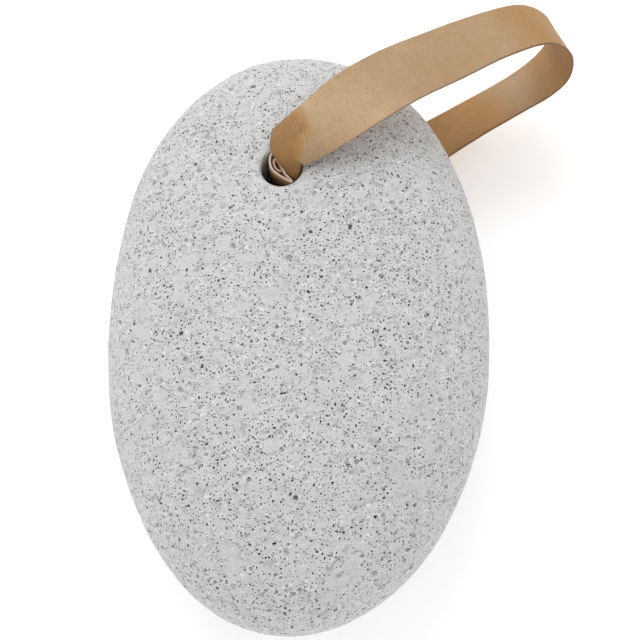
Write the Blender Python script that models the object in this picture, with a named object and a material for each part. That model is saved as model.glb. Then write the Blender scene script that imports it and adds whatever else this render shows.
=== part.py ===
"""A rounded pumice stone with one drilled hole and a flat strap looped through it.

Metres, +Z up. The stone lies on its back, long axis along Y, hole end at +Y.
The origin is the middle of the worn flat that the stone rests on.
"""

import math
import random

import bmesh
import bpy
from mathutils import Euler, Vector, noise

MM = 0.001

# The stone: a rounded oval block, its widest outline at WAIST_HEIGHT above the rest face.
# Seen from the side it is height = (1 - reach ** SPREAD) ** ROUNDING, both from 0 to 1.
STONE_LENGTH = 101.5 * MM
STONE_WIDTH = 64.0 * MM
WAIST_HEIGHT = 18.2 * MM
CROWN_RISE = 18.8 * MM          # from the waist up to the top of the dome
CROWN_SPREAD = 2.2
CROWN_ROUNDING = 0.455
BELLY_DROP = 19.3 * MM          # from the waist down to the belly, before it is worn flat
BELLY_SPREAD = 1.3
BELLY_ROUNDING = 0.5
HEAD_FULLNESS = 2.12            # the outline's superellipse exponent at the hole end
FOOT_FULLNESS = 2.0             # the same at the other end
FOOT_LEAN = 1.4 * MM            # how far the foot end leans to -X
STONE_DIVISIONS = 4             # icosphere subdivisions, 1280 faces
FACET_JITTER = 0.028            # how far a vertex strays from the even sphere, on a radius of 1

# Low lumps and hollows on the worn surface: (height, wavelength).
LUMPS = ((0.45 * MM, 26.0 * MM), (0.2 * MM, 12.0 * MM))

# Broken gas pores: (how many, distance from middle to corner, wall run, depth).
PORE_SIZES = (
    (44, 1.05 * MM, 0.24 * MM, 1.00 * MM),
    (96, 0.78 * MM, 0.18 * MM, 0.80 * MM),
    (140, 0.56 * MM, 0.12 * MM, 0.60 * MM),
)
SHAPE_SEED = 11
PORE_PATCH = 16.0 * MM          # size of the denser and the emptier areas
PORE_FREE_LEVEL = -0.15         # noise level under which an area has no open pores
WAIST_BAND = 7.0 * MM           # this near the waist the facets are small, and
WAIST_SHARE = 0.4               # only this share of the places is used
REST_MARGIN = 1.5 * MM          # no pore starts lower than this

# The hole, drilled straight through the thickness.
HOLE_X = -3.0 * MM
HOLE_Y = 23.9 * MM
HOLE_RADIUS = 3.4 * MM
HOLE_SIDES = 36
HOLE_CLEAR = 6.8 * MM           # no pore this near the hole's axis
CUTTER_LENGTH = 60.0 * MM
MOUTH_CHAMFER = 0.9 * MM        # worn edge of each mouth
MOUTH_REACH = 1.5 * MM          # how far its cutter runs past the chamfer, both ways
CROWN_MOUTH_HEIGHT = 34.6 * MM
BELLY_MOUTH_HEIGHT = 3.1 * MM
CROWN_MOUTH_TILT = math.radians(-11.0)   # about X, to lie along the surface there
BELLY_MOUTH_TILT = math.radians(11.0)

# The strap: one flat ribbon, closed in a loop.
STRAP_WIDTH = 11.2 * MM
STRAP_THICKNESS = 0.8 * MM
STRAP_DIRECTION = math.radians(36.0)     # from the hole towards the loop, about Z
STEPS = 2                       # sections from one station of the route to the next
ACROSS = 8                      # facets across the ribbon

# The flat stretch, from above the crown round the loop and back under the stone:
# (middle of the ribbon, direction across it), in mm along X, Y and Z.
FLAT_ROUTE = (
    ((4.6, 30.1, 39.3), (0.62, -0.78, 0.05)),
    ((9.9, 34.6, 38.8), (0.62, -0.78, 0.00)),
    ((16.6, 39.9, 36.4), (0.61, -0.79, 0.03)),
    ((24.0, 45.1, 33.0), (0.57, -0.81, 0.12)),
    ((32.3, 50.1, 30.6), (0.50, -0.82, 0.27)),
    ((40.0, 53.6, 28.2), (0.43, -0.84, 0.34)),
    ((44.6, 54.2, 23.4), (0.36, -0.87, 0.33)),
    ((45.7, 53.0, 18.3), (0.24, -0.92, 0.31)),
    ((43.4, 51.2, 14.0), (0.15, -0.91, 0.38)),
    ((38.2, 48.7, 10.8), (0.13, -0.87, 0.48)),
    ((30.5, 45.2, 7.8), (0.24, -0.83, 0.51)),
    ((22.5, 41.0, 5.6), (0.36, -0.82, 0.44)),
)

# The curled stretch, from under the stone up through the hole and out over the crown, with both
# sides of the ribbon curled towards the inside of the loop:
# (middle, tilt across, curl of each side, flat half width, width of each side's bend). A middle
# is in mm away from the hole towards the loop, aside to the right of that, and up.
CURLED_ROUTE = (
    ((19.2, 0.4, 3.2), 14, 8, 2.0, 1.9),
    ((16.4, 0.3, 2.3), 8, 50, 2.0, 1.9),
    ((13.6, 0.2, 1.6), 4, 105, 2.0, 1.9),
    ((10.8, 0.1, 1.1), 0, 155, 2.0, 1.9),
    ((7.8, 0.0, 0.85), 0, 178, 2.0, 1.9),
    ((3.2, 0.0, 0.85), 0, 180, 2.0, 1.9),
    ((0.4, 0.0, 1.9), 0, 180, 2.0, 1.9),
    ((-0.6, 0.0, 4.4), 0, 180, 2.0, 1.9),
    ((-0.6, 0.0, 9.0), 0, 180, 2.0, 1.9),
    ((-1.4, 0.0, 17.0), 0, 160, 0.9, 3.8),
    ((-2.05, 0.0, 25.0), 0, 138, 0.0, 5.6),
    ((-2.05, 0.0, 32.5), 0, 136, 0.0, 5.6),
    ((-2.1, 0.0, 35.6), 0, 104, 0.0, 5.6),
    ((-1.5, 0.0, 38.0), 0, 54, 0.0, 5.6),
    ((0.9, 0.0, 39.3), 0, 20, 0.0, 5.6),
)

# Finishes: (colour, roughness, metallic).
PUMICE = ((0.56, 0.56, 0.55), 0.92, 0.0)
TAN_LEATHER = ((0.47, 0.31, 0.18), 0.55, 0.0)


def clear_scene():
    for item in list(bpy.data.objects):
        bpy.data.objects.remove(item, do_unlink=True)


def new_collection(name):
    collection = bpy.data.collections.new(name)
    bpy.context.scene.collection.children.link(collection)
    return collection


def new_material(name, finish):
    colour, roughness, metallic = finish
    material = bpy.data.materials.new(name)
    material.use_nodes = True
    shader = material.node_tree.nodes["Principled BSDF"]
    shader.inputs["Base Color"].default_value = (*colour, 1.0)
    shader.inputs["Roughness"].default_value = roughness
    shader.inputs["Metallic"].default_value = metallic
    return material


def new_object(name, shape, collection):
    mesh = bpy.data.meshes.new(name)
    shape.to_mesh(mesh)
    shape.free()
    item = bpy.data.objects.new(name, mesh)
    collection.objects.link(item)
    return item


# ---------------------------------------------------------------- the stone

def worn_block(direction):
    """The point of the smooth stone that a direction of the unit sphere stands for."""
    if direction.z > 0.0:
        rise, spread, rounding = CROWN_RISE, CROWN_SPREAD, CROWN_ROUNDING
    else:
        rise, spread, rounding = -BELLY_DROP, BELLY_SPREAD, BELLY_ROUNDING
    flat = Vector((direction.x, direction.y))
    reach = flat.length ** (2.0 / spread)
    height = abs(direction.z) ** (2.0 * rounding)
    around = flat.normalized() if flat.length > 0.0 else Vector((1.0, 0.0))
    outline = HEAD_FULLNESS if around.y > 0.0 else FOOT_FULLNESS
    stretch = (abs(around.x) ** outline + abs(around.y) ** outline) ** (-1.0 / outline)
    along = around.y * reach * stretch
    lean = FOOT_LEAN * along * along if along < 0.0 else 0.0
    return Vector((
        around.x * reach * stretch * STONE_WIDTH / 2.0 - lean,
        along * STONE_LENGTH / 2.0,
        WAIST_HEIGHT + rise * height,
    ))


def lump_height(point):
    return sum(height * noise.noise(point / wavelength) for height, wavelength in LUMPS)


def shape_stone(shape, picker):
    middle = Vector((0.0, 0.0, WAIST_HEIGHT))
    for vertex in shape.verts:
        stray = Vector([picker.uniform(-FACET_JITTER, FACET_JITTER) for _ in range(3)])
        point = worn_block((vertex.co.normalized() + stray).normalized())
        point += (point - middle).normalized() * lump_height(point)
        point.z = max(point.z, 0.0)
        vertex.co = point


def takes_pore(point, picker):
    share = WAIST_SHARE if abs(point.z - WAIST_HEIGHT) < WAIST_BAND else 1.0
    hole_distance = math.hypot(point.x - HOLE_X, point.y - HOLE_Y)
    if picker.random() > share or point.z < REST_MARGIN or hole_distance < HOLE_CLEAR:
        return False
    return noise.noise(point / PORE_PATCH) > PORE_FREE_LEVEL


def open_pores(shape, picker):
    """Turn vertices picked at random into small pits, each cut across its vertex's edges."""
    places = [vertex for vertex in shape.verts if takes_pore(vertex.co, picker)]
    picker.shuffle(places)
    for count, radius, run, depth in PORE_SIZES:
        chosen = places[:count]
        places = places[count:]
        rims = bmesh.ops.bevel(
            shape, geom=chosen, offset=radius, segments=1, profile=0.5, affect="VERTICES"
        )
        bmesh.ops.inset_individual(
            shape, faces=rims["faces"], thickness=run, depth=-depth, use_even_offset=True
        )


def join_rest_face(shape):
    """Make the worn flat one face."""
    flat = [face for face in shape.faces if all(v.co.z == 0.0 for v in face.verts)]
    bmesh.ops.dissolve_faces(shape, faces=flat, use_verts=True)


def cut_away(item, cutter):
    cut = item.modifiers.new(cutter.name, "BOOLEAN")
    cut.operation = "DIFFERENCE"
    cut.object = cutter


def make_cutter(name, radius_low, radius_high, length, collection):
    shape = bmesh.new()
    bmesh.ops.create_cone(
        shape,
        cap_ends=True,
        segments=HOLE_SIDES,
        radius1=radius_low,
        radius2=radius_high,
        depth=length,
    )
    cutter = new_object(name, shape, collection)
    cutter.hide_render = True
    cutter.display_type = "WIRE"
    return cutter


def make_hole_cutter(collection):
    cutter = make_cutter("hole_cutter", HOLE_RADIUS, HOLE_RADIUS, CUTTER_LENGTH, collection)
    cutter.location = (HOLE_X, HOLE_Y, WAIST_HEIGHT)
    return cutter


def make_mouth_cutter(name, height, tilt, outward, collection):
    """A short cone that takes a mouth's sharp edge off; outward is 1 at the crown, -1 at the belly."""
    wide = HOLE_RADIUS + MOUTH_CHAMFER + MOUTH_REACH
    narrow = HOLE_RADIUS - MOUTH_REACH
    length = wide - narrow
    low, high = (narrow, wide) if outward > 0 else (wide, narrow)
    cutter = make_cutter(name, low, high, length, collection)
    turn = Euler((tilt, 0.0, 0.0))
    surface_to_middle = MOUTH_REACH - length / 2.0
    offset = Vector((0.0, 0.0, outward * surface_to_middle))
    offset.rotate(turn)
    cutter.rotation_euler = turn
    cutter.location = Vector((HOLE_X, HOLE_Y, height)) + offset
    return cutter


def make_stone(parts, cutters):
    shape = bmesh.new()
    bmesh.ops.create_icosphere(shape, subdivisions=STONE_DIVISIONS, radius=1.0)
    picker = random.Random(SHAPE_SEED)
    shape_stone(shape, picker)
    open_pores(shape, picker)
    join_rest_face(shape)
    stone = new_object("pumice_stone", shape, parts)
    cut_away(stone, make_hole_cutter(cutters))
    mouths = (
        ("crown_mouth_cutter", CROWN_MOUTH_HEIGHT, CROWN_MOUTH_TILT, 1),
        ("belly_mouth_cutter", BELLY_MOUTH_HEIGHT, BELLY_MOUTH_TILT, -1),
    )
    for name, height, tilt, outward in mouths:
        cut_away(stone, make_mouth_cutter(name, height, tilt, outward, cutters))
    stone.data.materials.append(new_material("pumice", PUMICE))
    stone.data.shade_smooth()
    stone.data.set_sharp_from_angle(angle=math.radians(25.0))
    return stone


# ---------------------------------------------------------------- the strap

def from_hole(away, aside, up):
    """A direction or an offset given along the strap's way out of the hole."""
    turn = STRAP_DIRECTION
    return Vector((
        away * math.cos(turn) + aside * math.sin(turn),
        away * math.sin(turn) - aside * math.cos(turn),
        up,
    ))


def route_stations():
    """The closed route, as (middle, across, curl, flat half width, bend width)."""
    axis = Vector((HOLE_X, HOLE_Y, 0.0))
    flat = [
        (Vector(middle) * MM, Vector(across).normalized(), 0.0, 0.0, STRAP_WIDTH / 2.0)
        for middle, across in FLAT_ROUTE
    ]
    curled = []
    for middle, tilt, curl, flat_half, bend in CURLED_ROUTE:
        tilt = math.radians(tilt)
        across = from_hole(0.0, math.cos(tilt), math.sin(tilt))
        middle = axis + from_hole(*middle) * MM
        curled.append((middle, across, math.radians(curl), flat_half * MM, bend * MM))
    return flat + curled


def blend(a, b, c, d, t):
    """Catmull-Rom blend of four neighbouring values, between b and c."""
    return 0.5 * (
        2.0 * b + (c - a) * t
        + (2.0 * a - 5.0 * b + 4.0 * c - d) * t * t
        + (3.0 * b - a - 3.0 * c + d) * t * t * t
    )


def smooth_route():
    stations = route_stations()
    count = len(stations)
    route = []
    for index in range(count):
        near = [stations[(index + step) % count] for step in (-1, 0, 1, 2)]
        for step in range(STEPS):
            middle, across, *curl = (blend(*four, step / STEPS) for four in zip(*near))
            route.append((middle, across, *(max(value, 0.0) for value in curl)))
    return route


def section_point(reach, curl, flat_half, bend):
    """Where the ribbon's point lies, reach from its middle: (across, sunk, angle turned)."""
    distance = abs(reach)
    side = math.copysign(1.0, reach)
    if distance <= flat_half or curl <= 0.0:
        return reach, 0.0, 0.0
    radius = bend / curl
    turn = min((distance - flat_half) / radius, curl)
    rest = max(distance - flat_half - bend, 0.0)
    across = flat_half + radius * math.sin(turn) + rest * math.cos(turn)
    sunk = radius * (1.0 - math.cos(turn)) + rest * math.sin(turn)
    return side * across, sunk, side * turn


def strap_section(middle, along, across, curl, flat_half, bend):
    """One closed section: the outer face from side to side, then the inner face back."""
    across = (across - along * across.dot(along)).normalized()
    outward = across.cross(along)
    outer = []
    inner = []
    for step in range(ACROSS + 1):
        reach = (step / ACROSS - 0.5) * STRAP_WIDTH
        sideways, sunk, turn = section_point(reach, curl, flat_half, bend)
        point = middle + across * sideways - outward * sunk
        facing = outward * math.cos(turn) + across * math.sin(turn)
        outer.append(point + facing * STRAP_THICKNESS / 2.0)
        inner.append(point - facing * STRAP_THICKNESS / 2.0)
    return outer + inner[::-1]


def make_strap(parts):
    shape = bmesh.new()
    route = smooth_route()
    rings = []
    for index, (middle, across, *curl) in enumerate(route):
        along = (route[(index + 1) % len(route)][0] - route[index - 1][0]).normalized()
        section = strap_section(middle, along, across, *curl)
        rings.append([shape.verts.new(point) for point in section])
    for index, ring in enumerate(rings):
        following = rings[(index + 1) % len(rings)]
        for side in range(len(ring)):
            after = (side + 1) % len(ring)
            shape.faces.new((ring[side], ring[after], following[after], following[side]))
    bmesh.ops.recalc_face_normals(shape, faces=shape.faces)
    strap = new_object("hanging_strap", shape, parts)
    strap.data.materials.append(new_material("tan_leather", TAN_LEATHER))
    strap.data.shade_smooth()
    strap.data.set_sharp_from_angle(angle=math.radians(50.0))
    return strap


def main():
    clear_scene()
    parts = new_collection("pumice_stone_with_strap")
    cutters = new_collection("cutters")
    make_stone(parts, cutters)
    make_strap(parts)


main()
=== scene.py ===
"""The looks of a rounded pumice stone with a flat strap looped through it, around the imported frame."""

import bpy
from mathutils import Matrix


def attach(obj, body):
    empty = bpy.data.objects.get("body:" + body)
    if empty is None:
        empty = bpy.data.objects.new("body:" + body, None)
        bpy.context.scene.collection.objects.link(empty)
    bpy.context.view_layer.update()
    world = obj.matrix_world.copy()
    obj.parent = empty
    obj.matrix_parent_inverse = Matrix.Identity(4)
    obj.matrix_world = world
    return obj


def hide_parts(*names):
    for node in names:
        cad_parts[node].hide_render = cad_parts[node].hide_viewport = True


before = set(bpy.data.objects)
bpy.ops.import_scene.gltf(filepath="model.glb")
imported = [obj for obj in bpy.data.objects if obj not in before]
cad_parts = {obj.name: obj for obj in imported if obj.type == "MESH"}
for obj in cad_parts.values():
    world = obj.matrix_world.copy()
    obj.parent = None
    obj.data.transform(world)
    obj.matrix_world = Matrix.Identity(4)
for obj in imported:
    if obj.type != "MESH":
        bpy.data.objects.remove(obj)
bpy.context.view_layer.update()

import math

import bmesh
import bpy
import numpy as np
from mathutils import Vector, noise
from mathutils.geometry import delaunay_2d_cdt

# Lengths are in millimetres up to the moment a mesh is made.
MM = 0.001

# ---------------------------------------------------------------- the stone's shape, as in the part

STONE_LENGTH = 101.5
STONE_WIDTH = 64.0
WAIST = 18.2
CROWN = (18.8, 2.2, 0.455)          # rise, spread, rounding
BELLY = (19.3, 1.3, 0.5)
HEAD_FULLNESS = 2.12
FOOT_FULLNESS = 2.0
FOOT_LEAN = 1.4
LUMPS = ((0.45, 26.0), (0.2, 12.0))
FINE_RELIEF = ((0.06, 3.4), (0.035, 1.5))   # worn unevenness that only the dressed stone has
FAR_OUT = 70.0                      # farther from the middle than any point of the stone
HALVINGS = 32                       # enough to find the surface to far under a micrometre
SPREAD_LIMIT = 3200.0               # mm2 of surface in a unit of solid angle where every place is kept

HOLE = (-3.0, 23.9)
HOLE_RADIUS = 3.4
MOUTH_RADIUS = 4.25                 # where the worn edge of a mouth starts
MOUTH_DROP = 1.1                    # how far down the wall it ends
MOUTH_SIDES = 72
MOUTH_ROWS = 6
WALL_ROWS = 30
WALL_ROUGHNESS = 0.10
WALL_FINE_SIZE = 0.9
WALL_BROAD_SIZE = 2.6
WALL_BROAD_SHARE = 0.7
RIM_ROUGHNESS = 0.15                # the share of the wall's roughness that is left at a rim
WALL_LIGHT_DEPTH = 9.0               # this far in, the wall has the whole of its painted light

POLE_RADIUS = 1.6                   # a small ring in the middle of the flat the stone rests on
POLE_SIDES = 20
STONE_SHARP = 42.0                  # edges that turn by more degrees than this are sharp

# ---------------------------------------------------------------- the stone's pores

SEED = 5
# (how many, least radius, most radius, rim corners, floor corners, floor share, least depth, most depth,
# unevenness of the rim, least painted shade of the floor, spread of that painted shade). Depths are shares
# of the radius.
PORES = (
    (34, 0.34, 0.52, 10, 6, 0.62, 1.0, 1.7, 0.3, 0.3, 0.7),
    (430, 0.34, 0.60, 9, 5, 0.60, 0.22, 0.55, 0.3, 0.1, 0.3),
    (2350, 0.17, 0.30, 6, 3, 0.60, 0.7, 1.6, 0.14, 0.3, 0.7),
    (11700, 0.11, 0.18, 4, 1, 0.0, 1.5, 2.6, 0.14, 0.3, 0.7),
)
LARGE_KINDS = 2                     # these have a point in mid floor, and calm spots keep them
PORE_GAP = 0.07
PORE_STRETCH = 0.45                 # the most that a pore is drawn out, as a share of its radius
PORE_REACH = 1.0 + PORE_STRETCH * 0.6   # the room it takes, in radii
PORE_MARGIN = 0.9                   # how far a pore stays from a mouth or from the middle of the flat
PORE_CELL = 2.4                     # of the grid that finds neighbours, wider than two of the widest need
SIZE_BIAS = 1.6                     # over 1 favours the smaller pores of a kind
CORNER_JITTER = 0.22                # in corner spacings
FLOOR_UNEVENNESS = 0.12
FLOOR_LEAN = 0.5
FLOOR_DIP = 1.12                    # depth of the floor's middle, in depths of its corners
CANDIDATES = 330000
DENSITY = 0.66                      # the share of the places that may hold a pore, on the average
DENSITY_PATCH = 7.0                 # size of the denser and the emptier areas
PATCH_SWING = 0.7
DENSITY_CLUSTER = 2.2               # and of the clusters inside them
CLUSTER_SWING = 0.9
WAIST_CALM = 1.0                    # this near the waist the pores are thinned most,
WAIST_FADE = 8.0                    # and over this height they come back
WAIST_DENSITY = 0.5
CALM_SPOTS = 520                    # small smooth places with no small pores
CALM_DRAWS = 6                      # places drawn for each, since some are dropped
CALM_RADII = (0.5, 1.5)
CALM_TRIM = 0.05                    # how far inside its edge a calm spot begins to show
SKIN_SPACING = 1.02                 # of the loose points between the pores
SKIN_CANDIDATES = 160000
SKIN_MARGIN = 0.35
SKIN_GAP = 0.16
JOIN_TOLERANCE = 1e-9               # points of the flat map nearer than this are one
# Added to the places, so that two noises don't repeat each other.
CLUSTER_SHIFT = 31.0
FINE_SHIFT = 57.0
WALL_SHIFT = 13.0


def swell(points):
    """Under 0 inside the smooth stone, above 0 outside."""
    x, y, z = points.T
    along = y / (STONE_LENGTH / 2.0)
    lean = np.where(along < 0.0, FOOT_LEAN * along * along, 0.0)
    across = (x + lean) / (STONE_WIDTH / 2.0)
    outline = np.where(along > 0.0, HEAD_FULLNESS, FOOT_FULLNESS)
    reach = (np.abs(across) ** outline + np.abs(along) ** outline) ** (1.0 / outline)
    up = z - WAIST
    rise, spread, rounding = (np.where(up > 0.0, a, b) for a, b in zip(CROWN, BELLY))
    return reach ** spread + (np.abs(up) / rise) ** (1.0 / rounding) - 1.0


def onto_stone(directions):
    """The points of the smooth stone that lie in these directions from its middle."""
    low = np.zeros(len(directions))
    high = np.full(len(directions), FAR_OUT)
    for _ in range(HALVINGS):
        middle = (low + high) / 2.0
        outside = swell(directions * middle[:, None] + (0.0, 0.0, WAIST)) > 0.0
        high = np.where(outside, middle, high)
        low = np.where(outside, low, middle)
    return directions * low[:, None] + (0.0, 0.0, WAIST)


def facing(points):
    """Outward unit normals of the smooth stone."""
    step = 1e-3
    slope = np.stack([
        swell(points + step * axis) - swell(points - step * axis) for axis in np.eye(3)
    ], axis=1)
    return slope / np.linalg.norm(slope, axis=1, keepdims=True)


def directions_of(points):
    away = points - (0.0, 0.0, WAIST)
    return away / np.linalg.norm(away, axis=1, keepdims=True)


def noise_at(points, wavelength):
    return np.array([noise.noise(Vector(point)) for point in points / wavelength])


def flat_map(points):
    """Where points of the stone fall on a plane, seen from the middle of its underside."""
    away = directions_of(points)
    return away[:, :2] / (1.0 + away[:, 2:3])


def worn_block(away):
    """The points of the smooth stone that unit vectors stand for, as in the part."""
    rise, spread, rounding = (np.where(away[:, 2] > 0.0, a, b) for a, b in zip(CROWN, BELLY))
    side = np.where(away[:, 2] > 0.0, 1.0, -1.0)
    flat = np.hypot(away[:, 0], away[:, 1])
    reach = flat ** (2.0 / spread)
    height = np.abs(away[:, 2]) ** (2.0 * rounding)
    around = away[:, :2] / np.maximum(flat, 1e-12)[:, None]
    outline = np.where(around[:, 1] > 0.0, HEAD_FULLNESS, FOOT_FULLNESS)
    stretch = (np.abs(around[:, 0]) ** outline + np.abs(around[:, 1]) ** outline) ** (-1.0 / outline)
    along = around[:, 1] * reach * stretch
    lean = np.where(along < 0.0, FOOT_LEAN * along * along, 0.0)
    across = around[:, 0] * reach * stretch * STONE_WIDTH / 2.0 - lean
    return np.stack([across, along * STONE_LENGTH / 2.0, WAIST + side * rise * height], axis=1)


def scatter(rng, count):
    """Points spread evenly over the stone's surface."""
    away = rng.normal(size=(count, 3))
    away /= np.linalg.norm(away, axis=1, keepdims=True)
    points = worn_block(away)
    helper = np.where(np.abs(away[:, 2:]) < 0.8, (0.0, 0.0, 1.0), (1.0, 0.0, 0.0))
    first = np.cross(away, helper)
    first /= np.linalg.norm(first, axis=1, keepdims=True)
    second = np.cross(away, first)
    step = 1e-4
    length = math.sqrt(1.0 + step * step)
    rows = [worn_block((away + step * way) / length) - points for way in (first, second)]
    area = np.linalg.norm(np.cross(*rows), axis=1) / step ** 2
    return points[rng.random(count) * SPREAD_LIMIT < area]


class Grid:
    """Discs already placed, found by where they are."""

    def __init__(self, cell):
        self.cell = cell
        self.held = {}

    def key(self, point):
        return tuple(int(math.floor(value / self.cell)) for value in point)

    def near(self, point):
        x, y, z = self.key(point)
        for i in (x - 1, x, x + 1):
            for j in (y - 1, y, y + 1):
                for k in (z - 1, z, z + 1):
                    yield from self.held.get((i, j, k), ())

    def clear(self, point, radius):
        px, py, pz = point
        for qx, qy, qz, other in self.near(point):
            least = radius + other
            if (px - qx) ** 2 + (py - qy) ** 2 + (pz - qz) ** 2 < least * least:
                return False
        return True

    def put(self, point, radius):
        self.held.setdefault(self.key(point), []).append((*point, radius))


def off_limits(points, margin):
    """True where a pore or a loose point would touch a mouth or the middle of the flat."""
    beside = np.hypot(points[:, 0] - HOLE[0], points[:, 1] - HOLE[1])
    pole = np.hypot(points[:, 0], points[:, 1])
    low = points[:, 2] < WAIST
    return (beside < MOUTH_RADIUS + margin) | (low & (pole < POLE_RADIUS + margin))


def place_pores(rng):
    """Every pore as (middle, radius, kind), the kinds in turn, kept apart."""
    places = scatter(rng, CANDIDATES)
    calm_places = scatter(rng, CALM_SPOTS * CALM_DRAWS)[:CALM_SPOTS]
    calm = Grid(CALM_RADII[1])
    for spot in calm_places:
        calm.put(tuple(spot), rng.uniform(*CALM_RADII))
    density = DENSITY + PATCH_SWING * noise_at(places, DENSITY_PATCH)
    density = density + CLUSTER_SWING * noise_at(places + CLUSTER_SHIFT, DENSITY_CLUSTER)
    waist = np.clip((np.abs(places[:, 2] - WAIST) - WAIST_CALM) / WAIST_FADE, 0.0, 1.0)
    density *= WAIST_DENSITY + (1.0 - WAIST_DENSITY) * waist
    keep = (rng.random(len(places)) < density) & ~off_limits(places, PORE_MARGIN)
    places = places[keep]
    taken = Grid(PORE_CELL)
    pores = []
    index = 0
    for kind, (count, least, most, *_) in enumerate(PORES):
        made = 0
        while made < count and index < len(places):
            place = tuple(places[index])
            index += 1
            radius = least + (most - least) * rng.random() ** SIZE_BIAS
            reach = radius * PORE_REACH
            if kind >= LARGE_KINDS and not calm.clear(place, 0.0):
                continue
            if not taken.clear(place, reach + PORE_GAP):
                continue
            taken.put(place, reach)
            pores.append((place, radius, kind))
            made += 1
    return pores, taken, calm


def ring_offsets(rng, corners, radius, stretch, turn, uneven):
    """The corners of an uneven, drawn-out ring round a middle, on a plane."""
    jitter = rng.uniform(-CORNER_JITTER, CORNER_JITTER, corners)
    angles = (np.arange(corners) + jitter) * (2.0 * math.pi / corners)
    lengths = radius * (1.0 + rng.uniform(-uneven, uneven, corners))
    x = np.cos(angles) * lengths * (1.0 + stretch)
    y = np.sin(angles) * lengths / (1.0 + stretch * 0.5)
    c, s = math.cos(turn), math.sin(turn)
    return np.stack([x * c - y * s, x * s + y * c], axis=1)


class Cloud:
    """The points that the stone's skin is drawn through, before they are joined."""

    def __init__(self):
        self.points = []            # on the smooth stone
        self.sunk = []              # how far each is then moved, as a vector
        self.pore = []              # painted shade: 0 on the skin, up to 1 deep in a pore
        self.edges = []

    def add(self, points, sunk, pore, closed=False):
        start = len(self.points)
        count = len(points)
        self.points.extend(points)
        self.sunk.extend(sunk)
        self.pore.extend(pore)
        if closed:
            self.edges += [(start + i, start + (i + 1) % count) for i in range(count)]
        return list(range(start, start + count))


def add_pores(cloud, pores, rng):
    """A rim and a floor for each pore, the floor with painted shade. The joining then makes its wall."""
    middles = np.array([pore[0] for pore in pores])
    normals = facing(middles)
    for (middle, radius, kind), normal in zip(pores, normals):
        corners, floor_corners, share, shallow, deep, uneven, darkness, spread = PORES[kind][3:]
        side = np.cross(normal, (0.0, 0.0, 1.0) if abs(normal[2]) < 0.9 else (0.0, 1.0, 0.0))
        side /= np.linalg.norm(side)
        over = np.cross(normal, side)
        stretch = rng.uniform(0.0, PORE_STRETCH)
        turn = rng.uniform(0.0, math.pi)
        depth = radius * rng.uniform(shallow, deep)
        floor_shade = darkness + spread * rng.random()
        rim = ring_offsets(rng, corners, radius, stretch, turn, uneven)
        floor = ring_offsets(rng, floor_corners, radius * share, stretch, turn, FLOOR_UNEVENNESS)
        lean = rng.uniform(-FLOOR_LEAN, FLOOR_LEAN, 2)
        rim_points = middle + rim[:, :1] * side + rim[:, 1:] * over
        floor_points = middle + floor[:, :1] * side + floor[:, 1:] * over
        depths = depth * (1.0 + (floor @ lean) / radius)
        cloud.add(rim_points, np.zeros((corners, 3)), np.zeros(corners), closed=True)
        cloud.add(floor_points, -normal * depths[:, None], np.full(floor_corners, floor_shade))
        if kind < LARGE_KINDS:
            cloud.add([np.array(middle)], [-normal * depth * FLOOR_DIP], [floor_shade])


def height_at(x, y, side):
    """Height of the smooth stone over a point of the ground: side 1 is the crown, -1 the belly."""
    rise, spread, rounding = CROWN if side > 0 else BELLY
    along = y / (STONE_LENGTH / 2.0)
    across = x / (STONE_WIDTH / 2.0)
    reach = (np.abs(across) ** HEAD_FULLNESS + np.abs(along) ** HEAD_FULLNESS) ** (1.0 / HEAD_FULLNESS)
    return WAIST + side * rise * (1.0 - reach ** spread) ** rounding


def even_angles(sides):
    return np.arange(sides) * (2.0 * math.pi / sides)


def add_mouth(cloud, side):
    """The ring where the worn edge of a mouth starts: side 1 is on the crown, -1 on the belly."""
    angles = even_angles(MOUTH_SIDES)
    x = HOLE[0] + MOUTH_RADIUS * np.cos(angles)
    y = HOLE[1] + MOUTH_RADIUS * np.sin(angles)
    points = np.stack([x, y, height_at(x, y, side)], axis=1)
    return cloud.add(points, np.zeros((MOUTH_SIDES, 3)), np.zeros(MOUTH_SIDES), closed=True)


def add_pole(cloud):
    """The ring on the underside that the flat map is cut open at."""
    angles = even_angles(POLE_SIDES)
    x = POLE_RADIUS * np.cos(angles)
    y = POLE_RADIUS * np.sin(angles)
    away = np.stack([x, y, np.full(POLE_SIDES, -WAIST)], axis=1)
    points = onto_stone(away / np.linalg.norm(away, axis=1, keepdims=True))
    return cloud.add(points, np.zeros((POLE_SIDES, 3)), np.zeros(POLE_SIDES), closed=True)


def add_skin(cloud, taken, rng):
    """Loose points between the pores, kept apart."""
    places = scatter(rng, SKIN_CANDIDATES)
    places = places[~off_limits(places, SKIN_MARGIN)]
    spaced = Grid(SKIN_SPACING)
    kept = []
    for place in map(tuple, places):
        if not spaced.clear(place, SKIN_SPACING / 2.0):
            continue
        if not taken.clear(place, SKIN_GAP):
            continue
        spaced.put(place, SKIN_SPACING / 2.0)
        kept.append(place)
    kept = np.array(kept)
    cloud.add(kept, np.zeros((len(kept), 3)), np.zeros(len(kept)))


def join_cloud(cloud):
    """Triangles through the cloud. A point the joining adds is put on the smooth stone."""
    flat = flat_map(np.array(cloud.points))
    spots = [Vector(spot) for spot in flat]
    placed, _, faces, origins, _, _ = delaunay_2d_cdt(spots, cloud.edges, [], 0, JOIN_TOLERANCE)
    source = []
    for spot, origin in zip(placed, origins):
        if origin:
            source.append(origin[0])
            continue
        size = spot.length_squared
        away = np.array([[2.0 * spot.x, 2.0 * spot.y, 1.0 - size]]) / (1.0 + size)
        source += cloud.add(onto_stone(away), np.zeros((1, 3)), [0.0])
    return [tuple(source[corner] for corner in face) for face in faces]


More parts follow.
